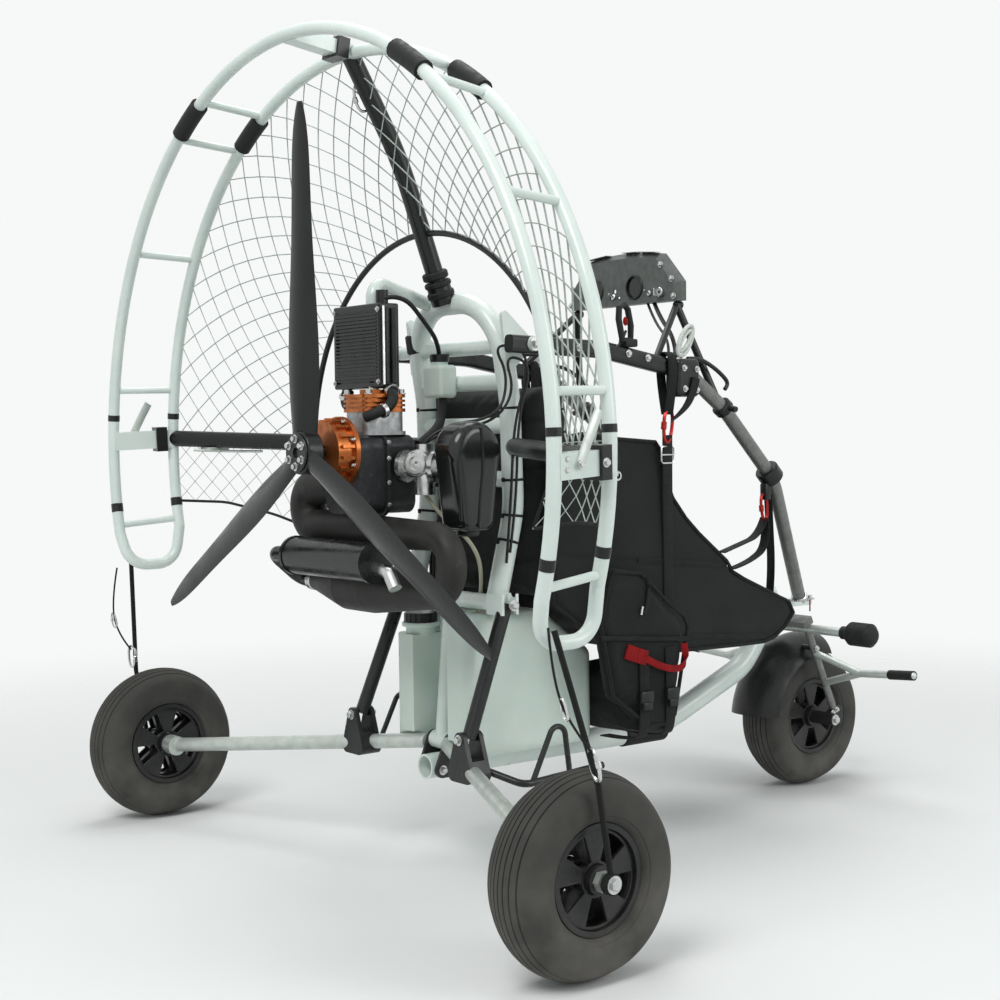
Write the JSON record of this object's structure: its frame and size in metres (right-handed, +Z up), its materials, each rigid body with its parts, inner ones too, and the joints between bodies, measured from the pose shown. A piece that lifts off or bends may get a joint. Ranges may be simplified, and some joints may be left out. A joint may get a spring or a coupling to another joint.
{
  "type": "paramotor trike",
  "caption": "Three-wheeled undercarriage with a pusher propeller in a hooped cage, a slung fabric seat, a moulded fuel tank and a foot-steered front wheel.",
  "frame": {"origin": "on the floor at mid wheelbase, under the keel", "axes": "+X forward, +Y to the pilot's left, +Z up"},
  "size_m": [1.651, 1.609, 1.5986],
  "materials": {
    "net_cord": "pale knotted cord",
    "white_paint": "gloss white powder coat",
    "grey_paint": "satin grey powder coat",
    "black_paint": "gloss black",
    "silver_tube": "satin aluminium",
    "steel": "bright steel",
    "engine_alloy": "cast alloy",
    "bronze_anodised": "bronze anodised",
    "black_plastic": "moulded black",
    "exhaust_black": "heat-proof black",
    "tank_plastic": "translucent white",
    "carbon": "black carbon",
    "tyre_rubber": "dark grey rubber",
    "grip_rubber": "black rubber",
    "seat_cloth": "black nylon",
    "strap": "black webbing",
    "dash_grey": "satin grey"
  },
  "bodies": {
    "chassis": {"steering_head": "white_paint", "keel_tube": "white_paint", "axle_left": "silver_tube", "axle_right": "silver_tube", "axle_clamp": "black_paint", "engine_frame": "white_paint", "axle_struts": "black_paint", "axle_brackets": "black_paint", "fuel_tank": "tank_plastic", "tank_cap": "black_plastic", "crankcase": "engine_alloy", "cylinder": "engine_alloy", "cylinder_head": "bronze_anodised", "reduction_cover": "bronze_anodised", "engine_mounts": "black_paint", "airbox": "black_plastic", "carburettor": "steel", "radiator": "black_paint", "radiator_carrier": "white_paint", "coolant_bottle": "tank_plastic", "exhaust_pipe": "exhaust_black", "silencer": "exhaust_black", "cage_hoops": "white_paint", "cage_rungs": "white_paint", "cage_arms": "carbon", "net_rim": "black_plastic", "net": "net_cord", "side_loops": "black_paint", "hang_arms": "black_paint", "front_stays": "grey_paint", "dash_panel": "dash_grey", "dash_posts": "black_paint", "seat_back": "seat_cloth", "seat_base": "seat_cloth", "seat_sides": "seat_cloth", "reserve_bag": "seat_cloth", "cage_stays": "strap"},
    "fork": {"fork_frame": "grey_paint", "fork_axle": "black_paint", "peg_bar": "silver_tube", "peg_grips": "grip_rubber", "foot_bars": "silver_tube", "mudguard": "black_plastic"},
    "front_wheel": {"front_tyre": "tyre_rubber", "front_rim": "black_plastic"},
    "rear_wheel_left": {"rear_left_tyre": "tyre_rubber", "rear_left_rim": "black_plastic"},
    "rear_wheel_right": {"rear_right_tyre": "tyre_rubber", "rear_right_rim": "black_plastic"},
    "propeller": {"propeller_hub": "black_paint", "propeller_blades": "carbon"}
  },
  "joints": [
    {"name": "steering", "type": "hinge", "parent": "chassis", "child": "fork", "pos_m": [0.5795, 0, 0.4], "axis": [-0.4147, 0, 0.91], "range_deg": [-30, 30]},
    {"name": "front_wheel_spin", "type": "hinge", "parent": "fork", "child": "front_wheel", "pos_m": [0.6605, 0, 0.165], "axis": [0, 1, 0], "continuous": true},
    {"name": "rear_left_spin", "type": "hinge", "parent": "chassis", "child": "rear_wheel_left", "pos_m": [-0.6605, 0.724, 0.165], "axis": [0, 1, 0], "continuous": true},
    {"name": "rear_right_spin", "type": "hinge", "parent": "chassis", "child": "rear_wheel_right", "pos_m": [-0.6605, -0.724, 0.165], "axis": [0, 1, 0], "continuous": true},
    {"name": "propeller_spin", "type": "hinge", "parent": "chassis", "child": "propeller", "pos_m": [-0.7065, 0, 0.819], "axis": [1, 0, 0], "continuous": true}
  ]
}
